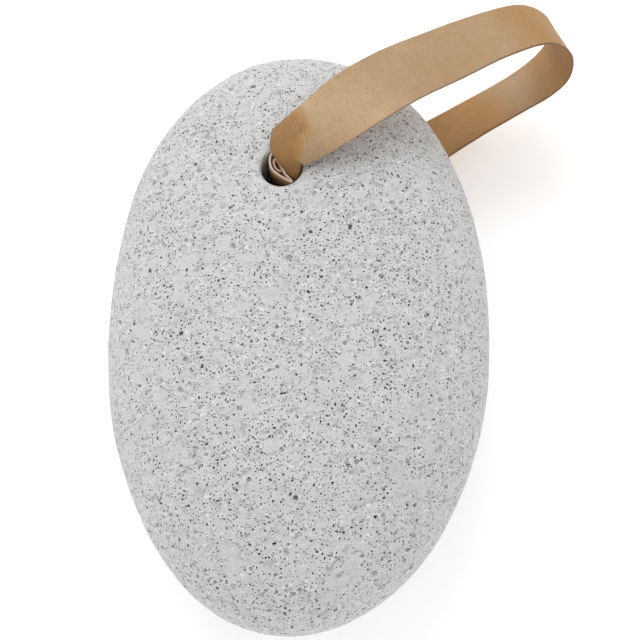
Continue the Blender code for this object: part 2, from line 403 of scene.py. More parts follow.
def worn(points):
    """Points of the smooth stone, moved out or in by its lumps and its finer unevenness."""
    away = directions_of(points)
    lumps = sum(height * noise_at(points, wavelength) for height, wavelength in LUMPS)
    fine = sum(height * noise_at(points + FINE_SHIFT, wavelength) for height, wavelength in FINE_RELIEF)
    return points + away * (lumps + fine)[:, None]


def rings_of(points, size, start=0):
    """The points' numbers in rings of this size, from start on."""
    return [range(first, first + size) for first in range(start, start + len(points), size)]


def tube(rings):
    """Faces from each ring to the next."""
    faces = []
    for upper, lower in zip(rings, rings[1:]):
        for i in range(len(upper)):
            j = (i + 1) % len(upper)
            faces.append((upper[i], upper[j], lower[j], lower[i]))
    return faces


def add_passage(points, faces, crown_ring, belly_ring):
    """The rounded mouths and the wall of the hole, between the two rings."""
    angles = even_angles(MOUTH_SIDES)
    spokes = np.stack([np.cos(angles), np.sin(angles), np.zeros(MOUTH_SIDES)], axis=1)
    axis = np.array([HOLE[0], HOLE[1], 0.0])
    edge = MOUTH_RADIUS - HOLE_RADIUS
    rows = []
    for ring, side in ((crown_ring, 1.0), (belly_ring, -1.0)):
        outer = points[ring]
        slope = (outer[:, 2] - np.roll(outer[:, 2], MOUTH_SIDES // 2)) / (2.0 * MOUTH_RADIUS)
        corner = outer - spokes * edge
        corner[:, 2] = outer[:, 2] - slope * edge
        inner = corner - (0.0, 0.0, side * MOUTH_DROP)
        share = np.linspace(0.0, 1.0, MOUTH_ROWS + 1)[1:, None, None]
        rows.append((1 - share) ** 2 * outer + 2 * share * (1 - share) * corner + share ** 2 * inner)
    top, bottom = rows[0], rows[1][::-1]
    share = np.linspace(0.0, 1.0, WALL_ROWS + 1)[1:-1, None, None]
    wall = (1.0 - share) * top[-1] + share * bottom[0]
    grid = np.concatenate([top, wall, bottom])
    flat = grid.reshape(-1, 3)
    rough = WALL_ROUGHNESS * noise_at(flat + WALL_SHIFT, WALL_FINE_SIZE)
    rough = rough + WALL_BROAD_SHARE * WALL_ROUGHNESS * noise_at(flat, WALL_BROAD_SIZE)
    outward = flat - axis
    outward[:, 2] = 0.0
    outward /= np.linalg.norm(outward, axis=1, keepdims=True)
    fade = np.ones(len(grid))
    fade[:MOUTH_ROWS] = np.linspace(RIM_ROUGHNESS, 1.0, MOUTH_ROWS)
    fade[-MOUTH_ROWS:] = np.linspace(1.0, RIM_ROUGHNESS, MOUTH_ROWS)
    flat = flat + outward * (rough * np.repeat(fade, MOUTH_SIDES))[:, None]
    faces += tube([crown_ring, *rings_of(flat, MOUTH_SIDES, len(points)), belly_ring])
    depth = np.minimum(grid[:, :, 2].max() - grid[:, :, 2], grid[:, :, 2] - grid[:, :, 2].min())
    return np.concatenate([points, flat]), np.clip(depth.reshape(-1) / WALL_LIGHT_DEPTH, 0.0, 1.0)


def make_piece(name, points, faces, attributes, sharp):
    """A smooth-shaded piece from points in millimetres, with these values at its points."""
    mesh = bpy.data.meshes.new(name)
    mesh.from_pydata([Vector(point) * MM for point in points], [], faces)
    for key, values in attributes.items():
        mesh.attributes.new(key, "FLOAT", "POINT").data.foreach_set("value", np.array(values, np.float32))
    shape = bmesh.new()
    shape.from_mesh(mesh)
    bmesh.ops.recalc_face_normals(shape, faces=shape.faces)
    shape.to_mesh(mesh)
    shape.free()
    mesh.shade_smooth()
    mesh.set_sharp_from_angle(angle=math.radians(sharp))
    piece = bpy.data.objects.new(name, mesh)
    bpy.context.scene.collection.objects.link(piece)
    return piece


def settled(points, sunk):
    """Points moved by their sinking. What would be under the ground is worn flat, but for its pores."""
    points = points + sunk
    low = points[:, 2] < 0.0
    points[low, 2] = np.linalg.norm(sunk[low], axis=1)
    return points


def make_stone():
    rng = np.random.default_rng(SEED)
    pores, taken, calm = place_pores(rng)
    cloud = Cloud()
    crown_ring = add_mouth(cloud, 1)
    belly_ring = add_mouth(cloud, -1)
    pole_ring = add_pole(cloud)
    add_pores(cloud, pores, rng)
    add_skin(cloud, taken, rng)
    mouths = [set(crown_ring), set(belly_ring)]
    faces = [face for face in join_cloud(cloud) if not any(ring.issuperset(face) for ring in mouths)]
    smooth = np.array(cloud.points)
    points = settled(worn(smooth), np.array(cloud.sunk))
    pole = len(points)
    points = np.concatenate([points, [[0.0, 0.0, 0.0]]])
    faces += [(pole, pole_ring[(i + 1) % POLE_SIDES], pole_ring[i]) for i in range(POLE_SIDES)]
    points, wall_depth = add_passage(points, faces, crown_ring, belly_ring)
    rest = [0.0] * (1 + len(wall_depth))
    calmness = [0.0 if calm.clear(tuple(point), -CALM_TRIM) else 1.0 for point in smooth]
    attributes = {
        # painted shade deep in the modelled pores
        "pore": [*cloud.pore, *rest],
        # painted light that lifts the shade of the hole's deep wall
        "hole_depth": [0.0] * (pole + 1) + list(wall_depth),
        "calm": calmness + rest,
    }
    return make_piece("pumice_body", points, faces, attributes, STONE_SHARP)


# ---------------------------------------------------------------- the strap

STRAP_WIDTH = 11.2
STRAP_THICKNESS = 0.5
STRAP_TURN = math.radians(36.0)     # which way the loop lies from the hole
STRAP_SHARP = 50.0                  # as STONE_SHARP
STEPS = 12                          # sections from one station to the next
ACROSS = 30
SECTION_SAMPLES = 225               # an odd number, so that one is in the middle
EDGE_ROUNDING = 0.12
# A cut edge: (how far in, in roundings, height in half thicknesses, how much it is a cut edge).
EDGE_PROFILE = ((0.3, 0.78, 0.7), (0.0, 0.3, 1.0), (0.0, -0.3, 1.0), (0.3, -0.78, 0.7))
EDGE_RIPPLE = 0.05                  # how unevenly the edges are cut
RIPPLE_LENGTH = 1.3
RIPPLE_SHIFT = 9.0                  # keeps the two edges from being alike

# The stretch in the open: (middle, direction from the far edge to the near edge).
FLAT_ROUTE = (
    ((9.9, 34.6, 38.8), (0.62, -0.78, 0.00)),
    ((16.6, 39.9, 36.4), (0.61, -0.79, 0.03)),
    ((24.0, 45.1, 33.0), (0.57, -0.81, 0.12)),
    ((32.3, 50.1, 30.6), (0.50, -0.82, 0.27)),
    ((40.0, 53.6, 28.2), (0.43, -0.84, 0.34)),
    ((44.6, 54.2, 23.4), (0.36, -0.87, 0.33)),
    ((45.7, 53.0, 18.3), (0.24, -0.92, 0.31)),
    ((43.4, 51.2, 14.0), (0.15, -0.91, 0.38)),
    ((38.2, 48.7, 10.8), (0.13, -0.87, 0.48)),
    ((30.5, 45.2, 7.8), (0.24, -0.83, 0.51)),
    ((22.5, 41.0, 5.6), (0.36, -0.82, 0.44)),
)
# The curled stretch, from under the stone up through the hole and out over the crown:
# (middle, tilt across, (turn at 2.0, at 3.9, at the edge)), with both sides alike.
# A middle is away from the hole towards the loop, aside to the right of that, and up.
KNOTS = (0.0, 2.0, 3.9, 5.6)
CURLED_ROUTE = (
    ((19.2, 0.4, 3.2), 14, (0, 8, 8)),
    ((16.4, 0.3, 2.3), 8, (0, 50, 50)),
    ((13.6, 0.2, 1.6), 4, (0, 105, 105)),
    ((10.8, 0.1, 1.1), 0, (0, 155, 155)),
    ((7.8, 0.0, 0.85), 0, (0, 178, 178)),
    ((3.2, 0.0, 0.85), 0, (0, 180, 180)),
    ((0.4, 0.0, 1.9), 0, (0, 180, 180)),
    ((-0.6, 0.0, 4.4), 0, (0, 180, 180)),
    ((-0.6, 0.0, 9.0), 0, (0, 180, 180)),
    ((-0.2, 0.0, 17.0), 0, (0, 180, 180)),
    ((0.7, 0.0, 24.0), 0, (0, 180, 180)),
)
# The stretch in the crown mouth, where the two sides differ: (middle, tilt across, far turns, near turns).
MOUTH_ROUTE = (
    ((0.9, 0.0, 29.5), 0, (0, 180, 180), (0, 180, 180)),
    ((0.65, 0.15, 32.6), 0, (8, 162, 182), (8, 162, 184)),
    ((0.3, -0.45, 34.6), 8, (27, 96, 150), (30, 108, 170)),
    ((0.05, -1.1, 36.2), 15, (18, 48, 68), (27, 92, 140)),
    ((0.85, -1.45, 37.5), 16, (16, 34, 50), (26, 84, 122)),
    ((2.15, -1.6, 38.3), 18, (13, 26, 37), (36, 76, 108)),
    ((5.5, -1.5, 39.0), 19, (10, 18, 26), (30, 60, 86)),
    ((9.8, -1.3, 39.2), 13, (7, 13, 18), (16, 32, 46)),
)

# How brown the leather is at each station from 0 to 1, on its far side and its near side, outer face:
# browner where the strap lies in shade, as painted shade.
FAR_SHADE_TONES = (
    0.20, 0.33, 0.33, 0.36, 0.60, 0.68, 0.62, 0.40, 0.14, 0.55, 1.0,
    *(1.0,) * 11,
    1.0, 1.0, 1.0, 1.0, 0.95, 0.93, 0.88, 0.17,
)
NEAR_SHADE_TONES = (
    0.06, 0.28, 0.33, 0.36, 0.60, 0.68, 0.62, 0.40, 0.22, 0.65, 1.0,
    *(1.0,) * 11,
    1.0, 1.0, 1.0, 0.80, 0.42, 0.34, 0.30, 0.15,
)
# Where the painted shade of the fold ends across the width: (station, share of the width from the far
# edge).
FOLD_LINE = ((24.0, 1.1), (26.0, 0.92), (27.0, 0.76), (28.0, 0.60), (28.6, 0.28), (29.0, -0.2))
FOLD_SOFTNESS = 0.26
INNER_TONE = 0.15                   # how much browner the inner face is
WRINKLED_STATION = 27.9             # the wrinkles are round this station
WRINKLED_REACH = 1.3

# The painted shade inside the hole.
SHADE_START = 1.6                   # depth at which it begins
SHADE_SPAN = 3.4                    # further depth over which it becomes full
SHADED_HEIGHTS = (2.0, 34.3)        # depth is measured from these two ends of the hole
SHADE_CEILING = 35.4                # no shade from here up
SHADE_MARGIN = 0.4                  # how far past the wall it still counts as inside
SHELTER_START = 2.3                 # the near half is darker from this far from the hole's axis,
SHELTER_DEPTH = 3.2                 # as if it were this much deeper for each millimetre


def from_hole(away, aside, up):
    """A place as it is measured in the routes, turned to the stone's own axes."""
    turn = STRAP_TURN
    return Vector((
        away * math.cos(turn) + aside * math.sin(turn),
        away * math.sin(turn) - aside * math.cos(turn),
        up,
    ))


def route_stations():
    """The closed route, as (middle, across, turns at the knots from the far edge to the near edge)."""
    axis = Vector((HOLE[0], HOLE[1], 0.0))
    level = (0.0,) * (2 * len(KNOTS) - 1)
    stations = [(Vector(middle), Vector(across).normalized(), level) for middle, across in FLAT_ROUTE]
    curled = [(middle, tilt, turns, turns) for middle, tilt, turns in CURLED_ROUTE]
    for middle, tilt, far, near in curled + list(MOUTH_ROUTE):
        tilt = math.radians(tilt)
        across = from_hole(0.0, math.cos(tilt), math.sin(tilt))
        turns = [*far[::-1], 0.0, *(-turn for turn in near)]
        stations.append((axis + from_hole(*middle), across, tuple(math.radians(turn) for turn in turns)))
    return stations


def catmull(a, b, c, d, t):
    """A smooth way from b to c, with a before them and d after."""
    return 0.5 * (
        2.0 * b + (c - a) * t
        + (2.0 * a - 5.0 * b + 4.0 * c - d) * t * t
        + (3.0 * b - a - 3.0 * c + d) * t * t * t
    )


def smooth_route():
    """The middle, the direction across and the turns of every section, round the whole loop."""
    stations = route_stations()
    count = len(stations)
    route = []
    for index in range(count):
        near = [stations[(index + step) % count] for step in (-1, 0, 1, 2)]
        for step in range(STEPS):
            share = step / STEPS
            middle, across = (catmull(*four, share) for four in list(zip(*near))[:2])
            turns = [catmull(*four, share) for four in zip(*(station[2] for station in near))]
            route.append((middle, across, turns))
    return route


def section_points(turns, reaches):
    """Where points of a section lie, at these reaches from its middle: (across, out, angle turned)."""
    knots = [-knot for knot in KNOTS[:0:-1]] + list(KNOTS)
    fine = np.linspace(-STRAP_WIDTH / 2.0, STRAP_WIDTH / 2.0, SECTION_SAMPLES)
    angles = np.interp(fine, knots, turns)
    step = fine[1] - fine[0]
    columns = []
    for way in (np.cos, np.sin):
        values = np.concatenate([[0.0], np.cumsum((way(angles[1:]) + way(angles[:-1])) / 2.0 * step)])
        columns.append(values - values[SECTION_SAMPLES // 2])
    return list(zip(*(np.interp(reaches, fine, values) for values in (*columns, angles))))


def profile():
    """The section's outline as (reach, height in half thicknesses, how much it is a cut edge)."""
    half = STRAP_WIDTH / 2.0
    inset = half - EDGE_ROUNDING
    outer = [(-inset + 2.0 * inset * i / ACROSS, 1.0, 0.0) for i in range(ACROSS + 1)]
    side = [(half - EDGE_ROUNDING * share, height, edge) for share, height, edge in EDGE_PROFILE]
    inner = [(reach, -1.0, 0.0) for reach, _, _ in outer[::-1]]
    other = [(-reach, -height, edge) for reach, height, edge in side]
    return outer + side + inner + other


def limited(value):
    return max(0.0, min(1.0, value))


def leather_shade_tone(index, reach, height):
    """How brown the leather is at a section, so far across it, on its outer (1) or inner (-1) face, the
    brown being painted shade.
    """
    station, along = divmod(index / STEPS, 1.0)
    at = station + along * along * (3.0 - 2.0 * along)
    stations = np.arange(len(FAR_SHADE_TONES) + 1)
    far, near = (np.interp(at, stations, (*tones, tones[0])) for tones in (FAR_SHADE_TONES, NEAR_SHADE_TONES))
    share = 0.5 + reach / STRAP_WIDTH
    if FOLD_LINE[0][0] < at < FOLD_LINE[-1][0]:
        share = limited(0.5 + (share - np.interp(at, *zip(*FOLD_LINE))) / FOLD_SOFTNESS)
    inner = INNER_TONE * (0.5 - 0.5 * height)
    return min(1.0, far * (1.0 - share) + near * share + inner)


def hole_shade(depth):
    """How much of the light that reaches the leather is lost, so far down in the hole, from 0 to 1."""
    return limited((depth - SHADE_START) / SHADE_SPAN)


def strap_shade(point, reach):
    """The shade of a point of the strap, which lies so far towards the near edge."""
    low, high = SHADED_HEIGHTS
    beside = math.hypot(point.x - HOLE[0], point.y - HOLE[1])
    if beside >= HOLE_RADIUS + SHADE_MARGIN or not low < point.z < SHADE_CEILING:
        return 0.0
    shelter = SHELTER_DEPTH * max(0.0, beside - SHELTER_START) if reach > 0.0 else 0.0
    return hole_shade(min(high - point.z, point.z - low) + shelter)


def make_strap():
    route = smooth_route()
    outline = profile()
    points = []
    values = []
    length = 0.0
    for index, (middle, across, turns) in enumerate(route):
        ahead = route[(index + 1) % len(route)][0]
        along = (ahead - route[index - 1][0]).normalized()
        across = (across - along * across.dot(along)).normalized()
        outward = across.cross(along)
        wrinkled = max(0.0, 1.0 - abs(index / STEPS - WRINKLED_STATION) / WRINKLED_REACH)
        places = section_points(turns, [reach for reach, _, _ in outline])
        for (reach, height, edge), (sideways, out, turn) in zip(outline, places):
            point = middle + across * sideways + outward * out
            if edge > 0.0:
                spot = Vector((length / RIPPLE_LENGTH, math.copysign(RIPPLE_SHIFT, reach), 0.0))
                ripple = EDGE_RIPPLE * noise.noise(spot)
                point += (across * math.cos(turn) + outward * math.sin(turn)) * ripple
            face = outward * math.cos(turn) - across * math.sin(turn)
            points.append(point + face * height * STRAP_THICKNESS / 2.0)
            tone_and_painted_shade = leather_shade_tone(index, reach, height)
            values.append((edge, length, reach, tone_and_painted_shade, strap_shade(point, reach), wrinkled))
        length += (ahead - middle).length
    rings = rings_of(points, len(outline))
    names = ("edge", "along", "across", "tone_and_painted_shade", "shade", "wrinkled")
    attributes = dict(zip(names, zip(*values)))
    return make_piece("leather_strap", points, tube([*rings, rings[0]]), attributes, STRAP_SHARP)


# The rolled end of the strap, tucked into the crown mouth in front of the loop: where its rim runs,
# as (away, aside, up) from the hole, from its outer turn to its inner one.
ROLL_RIM = (
    (0.32, -3.00, 34.60), (-0.42, -2.62, 34.50), (-1.08, -1.66, 34.35), (-1.30, -0.62, 34.20),
    (-0.99, 0.64, 34.10), (-0.44, 1.91, 34.00), (0.05, 2.85, 33.95), (0.16, 2.60, 33.95),
    (0.08, 1.90, 34.00), (0.02, 1.05, 34.10), (0.20, -0.31, 34.30), (0.38, -1.40, 34.35),
    (0.20, -2.00, 34.20), (-0.19, -1.95, 34.00), (-0.55, -1.20, 33.80), (-0.50, -0.34, 33.60),
    (-0.20, 0.10, 33.50),
)
ROLL_THICKNESS = 0.32
ROLL_DEPTH = 6.0
ROLL_ROWS = 12
ROLL_STEPS = 6
ROLL_NARROWING = 0.012              # share by which it nears the hole's axis for each millimetre down
ROLL_SWELL = 0.8                    # how much thicker the pressed layers are below the rim,
ROLL_SWELL_DEPTH = 1.3              # from this depth down
ROLL_RIM_DEPTH = 0.1                # how far down the rim's rounding goes,
ROLL_RIM_SHARE = 0.6                # and the share of the thickness that is left on top
ROLL_CRUMPLE = 0.07
CRUMPLE_STEPS = 5.0                 # its size along the rim, in steps of the route
CRUMPLE_DROP = 1.5                  # and down the roll
CRUMPLE_SHIFT = 3.0
ROLL_OUTER_TONE = 0.4               # the leather's tone just below the rim, which grows browner downwards as painted shade
ROLL_INNER_TONE = 0.5
ROLL_SHADE_DEPTH = 0.6              # how far down in the hole the rim counts as being
ROLL_RIM_PALE = 0.85                # how much of the pale cut the rim has,
ROLL_SIDE_PALE = 0.6                # the faces beside it,
ROLL_OUTER_FADE = 0.6               # and how far down it goes on them
ROLL_INNER_FADE = 1.2


def roll_route():
    """The middle line of the rim, drawn smoothly through ROLL_RIM."""
    rim = [Vector(point) for point in ROLL_RIM]
    rim = [2.0 * rim[0] - rim[1], *rim, 2.0 * rim[-1] - rim[-2]]
    route = []
    for index in range(1, len(rim) - 2):
        route += [catmull(*rim[index - 1:index + 3], step / ROLL_STEPS) for step in range(ROLL_STEPS)]
    return [*route, rim[-2]]


def roll_looks(side, depth):
    """The tone with its painted shade, the painted shade and the paleness of the roll's outer (1) or inner
    (-1) face, so far below its rim.
    """
    if depth <= ROLL_RIM_DEPTH:
        return 0.0, 0.0, ROLL_RIM_PALE
    tone_and_painted_shade, fade = (ROLL_OUTER_TONE, ROLL_OUTER_FADE) if side > 0.0 else (ROLL_INNER_TONE, ROLL_INNER_FADE)
    pale = ROLL_SIDE_PALE * max(0.0, 1.0 - depth / fade)
    return min(1.0, tone_and_painted_shade + depth / ROLL_DEPTH), hole_shade(depth + ROLL_SHADE_DEPTH), pale


def make_roll():
    """The rolled end, as one closed sheet: its outline is the outer face, the rim, then the inner face."""
    depths = [ROLL_DEPTH * (1.0 - row / ROLL_ROWS) for row in range(ROLL_ROWS)]
    half_outline = [(1.0, depth) for depth in depths] + [(1.0, ROLL_RIM_DEPTH), (ROLL_RIM_SHARE, 0.0)]
    outline = half_outline + [(-side, depth) for side, depth in half_outline[::-1]]
    route = roll_route()
    axis = Vector((HOLE[0], HOLE[1], 0.0))
    points = []
    for index, spot in enumerate(route):
        along = route[min(index + 1, len(route) - 1)] - route[max(index - 1, 0)]
        out = Vector((along.y, -along.x, 0.0)).normalized()
        for side, depth in outline:
            narrow = 1.0 - ROLL_NARROWING * depth
            thicker = 1.0 + ROLL_SWELL * min(1.0, depth / ROLL_SWELL_DEPTH)
            point = spot - out * side * thicker * ROLL_THICKNESS / 2.0
            folds = Vector((index / CRUMPLE_STEPS, depth / CRUMPLE_DROP, CRUMPLE_SHIFT))
            crumple = ROLL_CRUMPLE * noise.noise(folds)
            point += out * crumple * min(1.0, depth)
            points.append(axis + from_hole(point.x * narrow, point.y * narrow, point.z - depth))
    size = len(outline)
    faces = tube(rings_of(points, size))
    for start in (0, len(points) - size):
        for k in range(size // 2 - 1):
            faces.append((start + k, start + k + 1, start + size - 2 - k, start + size - 1 - k))
    looks = [roll_looks(side, depth) for side, depth in outline] * len(route)
    attributes = dict(zip(("tone_and_painted_shade", "shade", "pale"), zip(*looks)))
    return make_piece("strap_rolled_end", points, faces, attributes, STRAP_SHARP)


# ---------------------------------------------------------------- materials

# The pumice, from the painted highlight on its pore rims to the painted shade in its deepest pores.
# Painted highlight round the painted pores.
PUMICE_RIM_HIGHLIGHT = (0.93, 0.93, 0.93, 1.0)
PUMICE_WALL_LIGHT = (0.84, 0.84, 0.84, 1.0)   # painted light deep in the hole's wall
PUMICE_LIGHT = (0.69, 0.69, 0.69, 1.0)
PUMICE_MEDIUM = (0.655, 0.655, 0.65, 1.0)
# Painted shade in the low places of the relief.
PUMICE_LOW_SHADE = (0.46, 0.46, 0.46, 1.0)
PUMICE_GRAIN = (0.40, 0.40, 0.40, 1.0)
# Painted shade in the hollows, the painted pores and the floors of the modelled pores.
PUMICE_HOLLOW_SHADE = (0.32, 0.32, 0.32, 1.0)
PUMICE_WIDE_PORE_SHADE = (0.24, 0.24, 0.24, 1.0)
PUMICE_FINE_PORE_SHADE = (0.06, 0.06, 0.06, 1.0)
PUMICE_PORE_SHADE = (0.05, 0.05, 0.05, 1.0)
PUMICE_GLOSS = 0.25
PUMICE_BUMP = (1.0, 0.42)           # strength, height in millimetres
# Painted pores, dark spots of painted shade: (cell size, least radius, most radius, share of the cells with
# one), radii in cells.
FINE_PORES = (0.62, 0.11, 0.34, 0.8)
WIDE_PORES = (1.25, 0.10, 0.36, 0.65)
PORE_WALL = 0.25                    # how wide a painted pore's wall is, in its most radius
PORE_RIM = (-0.13, -0.01)           # where its rim of painted highlight lies outside it, in cells
BENT = (0.7, 0.4)                   # how round forms are pushed about: (wavelength, reach)
TORN = (0.8, 0.55)
SLANT = math.radians(-32.0)         # the pores and ridges are drawn out along this slant
SLANT_SCALE = (0.85, 1.12, 1.0)

# The leather from its palest to its most shaded, the darker browns standing for painted shade, as shares of
# its tone attribute.
LEATHER_SHADE_TONES = (
    (0.0, (0.63, 0.435, 0.27, 1.0)),
    (0.33, (0.485, 0.325, 0.185, 1.0)),
    (0.67, (0.45, 0.238, 0.083, 1.0)),
    (1.0, (0.31, 0.158, 0.056, 1.0)),
)
LEATHER_SPECKLE = (0.30, 0.18, 0.09, 1.0)
LEATHER_GRAIN = (0.27, 0.16, 0.08, 1.0)
LEATHER_EDGE = (0.20, 0.125, 0.075, 1.0)
LEATHER_SHADE = (0.035, 0.02, 0.012, 1.0)
LEATHER_PALE = (0.86, 0.70, 0.57, 1.0)
LEATHER_RIDGE = (0.60, 0.44, 0.28, 1.0)
LEATHER_CELL = 0.38                 # size of the grain's cells
LEATHER_GLOSS = 0.2
LEATHER_BUMP = (0.5, 0.08)
WRINKLE_SLANT = 0.5                 # how far the wrinkles slip along the strap for each millimetre across
WRINKLE_STRETCH = 0.28              # how slowly they change across it
WRINKLE_SCALE = 2.6                 # the noise's scale along the strap, for each millimetre

FLOOR_COLOUR = (0.92, 0.92, 0.92, 1.0)
FLOOR_GLOW = 0.30                   # keeps the floor near the photograph's white
WHITE = (1.0, 1.0, 1.0, 1.0)


def new_material(name):
    material = bpy.data.materials.new(name)
    material.use_nodes = True
    return material, material.node_tree, material.node_tree.nodes["Principled BSDF"]


def join(tree, value, socket):
    """Link a socket, or set a constant."""
    if isinstance(value, bpy.types.NodeSocket):
        tree.links.new(value, socket)
    else:
        socket.default_value = value


def add_node(tree, kind, settings=None, **inputs):
    """A node with these settings and inputs. An input is named, or _ and its number."""
    node = tree.nodes.new(kind)
    for key, value in (settings or {}).items():
        setattr(node, key, value)
    for key, value in inputs.items():
        join(tree, value, node.inputs[int(key[1:]) if key[0] == "_" else key])
    return node


def painted(tree, colour, *layers):
    """The colour with each (share, colour) laid over it in turn."""
    for share, layer in layers:
        settings = {"data_type": "RGBA", "blend_type": "MIX", "clamp_factor": True}
        colour = add_node(tree, "ShaderNodeMix", settings, _0=share, _6=colour, _7=layer).outputs[2]
    return colour


def remap(tree, value, low, high, to_low=0.0, to_high=1.0, smooth=False):
    settings = {"clamp": True, "interpolation_type": "SMOOTHSTEP" if smooth else "LINEAR"}
    node = add_node(tree, "ShaderNodeMapRange", settings, _0=value, _1=low, _2=high, _3=to_low, _4=to_high)
    return node.outputs[0]


def maths(tree, operation, a, b):
    return add_node(tree, "ShaderNodeMath", {"operation": operation}, _0=a, _1=b).outputs[0]


def times(tree, a, b):
    return maths(tree, "MULTIPLY", a, b)


def total(tree, *terms):
    """The sum of (value, weight) pairs."""
    result = 0.0
    for value, weight in terms:
        result = maths(tree, "ADD", result, times(tree, value, weight))
    return result


def noise_value(tree, place, wavelength, detail=2.0, roughness=0.5, distortion=0.0):
    """Noise from 0 to 1 with features about a wavelength across, in millimetres."""
    node = add_node(
        tree, "ShaderNodeTexNoise", {"noise_dimensions": "3D"},
        Vector=place, Scale=1.0 / (wavelength * MM),
        Detail=detail, Roughness=roughness, Distortion=distortion,
    )
    return node.outputs["Fac"]


def cells_at(tree, place, feature, size):
    return add_node(
        tree, "ShaderNodeTexVoronoi", {"voronoi_dimensions": "3D", "feature": feature},
        Vector=place, Scale=1.0 / (size * MM), Randomness=1.0,
    )


def read_attribute(tree, name):
    return add_node(tree, "ShaderNodeAttribute", {"attribute_name": name}).outputs["Fac"]


def sphere_pores(tree, place, cell, least, most, occurrence):
    """Round spots of painted shade where the skin cuts scattered balls, each with a rim of painted
    highlight: (depth, rim, random value), each 0 to 1.
    """
    cells = cells_at(tree, place, "F1", cell)
    split = add_node(tree, "ShaderNodeSeparateColor", _0=cells.outputs["Color"])
    size = remap(tree, split.outputs[0], 1.0 - occurrence, 1.0, least, most)
    inside = maths(tree, "SUBTRACT", size, cells.outputs["Distance"])
    depth = remap(tree, inside, 0.0, most * PORE_WALL, smooth=True)
    rim = times(tree, remap(tree, inside, *PORE_RIM, smooth=True), maths(tree, "SUBTRACT", 1.0, depth))
    return depth, rim, split.outputs[1]


def shifted(tree, place, wavelength, reach):
    """The place, pushed about by up to half of reach, so that round forms turn irregular."""
    push = add_node(
        tree, "ShaderNodeTexNoise", {"noise_dimensions": "3D"},
        Vector=place, Scale=1.0 / (wavelength * MM), Detail=2.0,
    )
    moved = add_node(
        tree, "ShaderNodeVectorMath", {"operation": "MULTIPLY_ADD"},
        _0=push.outputs["Color"], _1=(reach * MM,) * 3, _2=place,
    )
    return moved.outputs[0]


def finish_surface(tree, shader, colour, roughness, gloss, height, strength, bump_height):
    bump = add_node(tree, "ShaderNodeBump", Strength=strength, Distance=bump_height * MM, Height=height)
    tree.links.new(colour, shader.inputs["Base Color"])
    tree.links.new(roughness, shader.inputs["Roughness"])
    tree.links.new(bump.outputs["Normal"], shader.inputs["Normal"])
    shader.inputs["Specular IOR Level"].default_value = gloss


def pumice_material():
    material, tree, shader = new_material("pumice")
    place = add_node(tree, "ShaderNodeTexCoord").outputs["Object"]
    drawn = add_node(
        tree, "ShaderNodeMapping", Vector=place, Rotation=(0.0, 0.0, SLANT), Scale=SLANT_SCALE,
    ).outputs[0]
    bent = shifted(tree, place, *BENT)
    torn = shifted(tree, drawn, *TORN)
    open_skin = maths(tree, "SUBTRACT", 1.0, read_attribute(tree, "calm"))

    # What the skin is made of. Each is 0 to 1.
    broad = remap(tree, noise_value(tree, place, 17.0), 0.3, 0.7)
    raised = noise_value(tree, drawn, 1.5, detail=3.0, roughness=0.62, distortion=0.5)
    raised = remap(tree, raised, 0.36, 0.54)
    rough = noise_value(tree, drawn, 0.62, roughness=0.6, distortion=0.4)
    rough = times(tree, rough, remap(tree, raised, 0.3, 1.0, 1.0, 0.45))
    grain = noise_value(tree, place, 0.28, roughness=0.6)
    hollow = remap(tree, noise_value(tree, torn, 0.85, detail=1.0), 0.28, 0.40, 1.0, 0.0, smooth=True)
    hollow = times(tree, hollow, open_skin)
    fine, fine_rim_highlight, fine_tone = sphere_pores(tree, bent, *FINE_PORES)
    wide, wide_rim_highlight, wide_tone = sphere_pores(tree, torn, *WIDE_PORES)
    rim_highlights = times(tree, maths(tree, "MAXIMUM", fine_rim_highlight, wide_rim_highlight), open_skin)
    fine = times(tree, fine, remap(tree, open_skin, 0.0, 1.0, 0.1, 1.0))
    wide = times(tree, wide, open_skin)

    # The colours, laid over each other. A number here is how strong that layer gets.
    colour = painted(
        tree, PUMICE_MEDIUM,
        (broad, PUMICE_LIGHT),
        # painted shade in the skin's low places
        (remap(tree, raised, 0.0, 1.0, 0.10, 0.0), PUMICE_LOW_SHADE),
        (remap(tree, grain, 0.34, 0.50, 0.30, 0.0), PUMICE_GRAIN),
        # painted highlight on the pore rims
        (times(tree, rim_highlights, 0.7), PUMICE_RIM_HIGHLIGHT),
        # painted shade in the hollows
        (times(tree, hollow, 0.32), PUMICE_HOLLOW_SHADE),
        # painted shade in the painted pores
        (times(tree, wide, remap(tree, wide_tone, 0.0, 1.0, 0.15, 0.85)), PUMICE_WIDE_PORE_SHADE),
        (times(tree, fine, remap(tree, fine_tone, 0.05, 0.7, 0.35, 1.0)), PUMICE_FINE_PORE_SHADE),
        # painted shade deep in the modelled pores
        (read_attribute(tree, "pore"), PUMICE_PORE_SHADE),
        # painted light that lifts the shade of the hole's deep wall
        (times(tree, read_attribute(tree, "hole_depth"), 0.5), PUMICE_WALL_LIGHT),
    )
    roughness = remap(tree, grain, 0.2, 0.8, 0.88, 1.0)
    height = total(
        tree, (raised, 0.55), (rough, 0.9), (grain, 0.2), (hollow, -0.35), (wide, -0.35), (fine, -0.45),
    )
    finish_surface(tree, shader, colour, roughness, PUMICE_GLOSS, height, *PUMICE_BUMP)
    return material


def leather_wrinkles(tree):
    """Fine ridges that run slantwise across the strap, from 0 to 1."""
    along = read_attribute(tree, "along")
    across = read_attribute(tree, "across")
    flat = add_node(
        tree, "ShaderNodeCombineXYZ",
        X=maths(tree, "ADD", along, times(tree, across, WRINKLE_SLANT)),
        Y=times(tree, across, WRINKLE_STRETCH),
    ).outputs["Vector"]
    ridges = add_node(
        tree, "ShaderNodeTexNoise", {"noise_dimensions": "3D"},
        Vector=flat, Scale=WRINKLE_SCALE, Detail=2.0, Roughness=0.6, Distortion=0.3,
    ).outputs[0]
    return remap(tree, ridges, 0.48, 0.64)


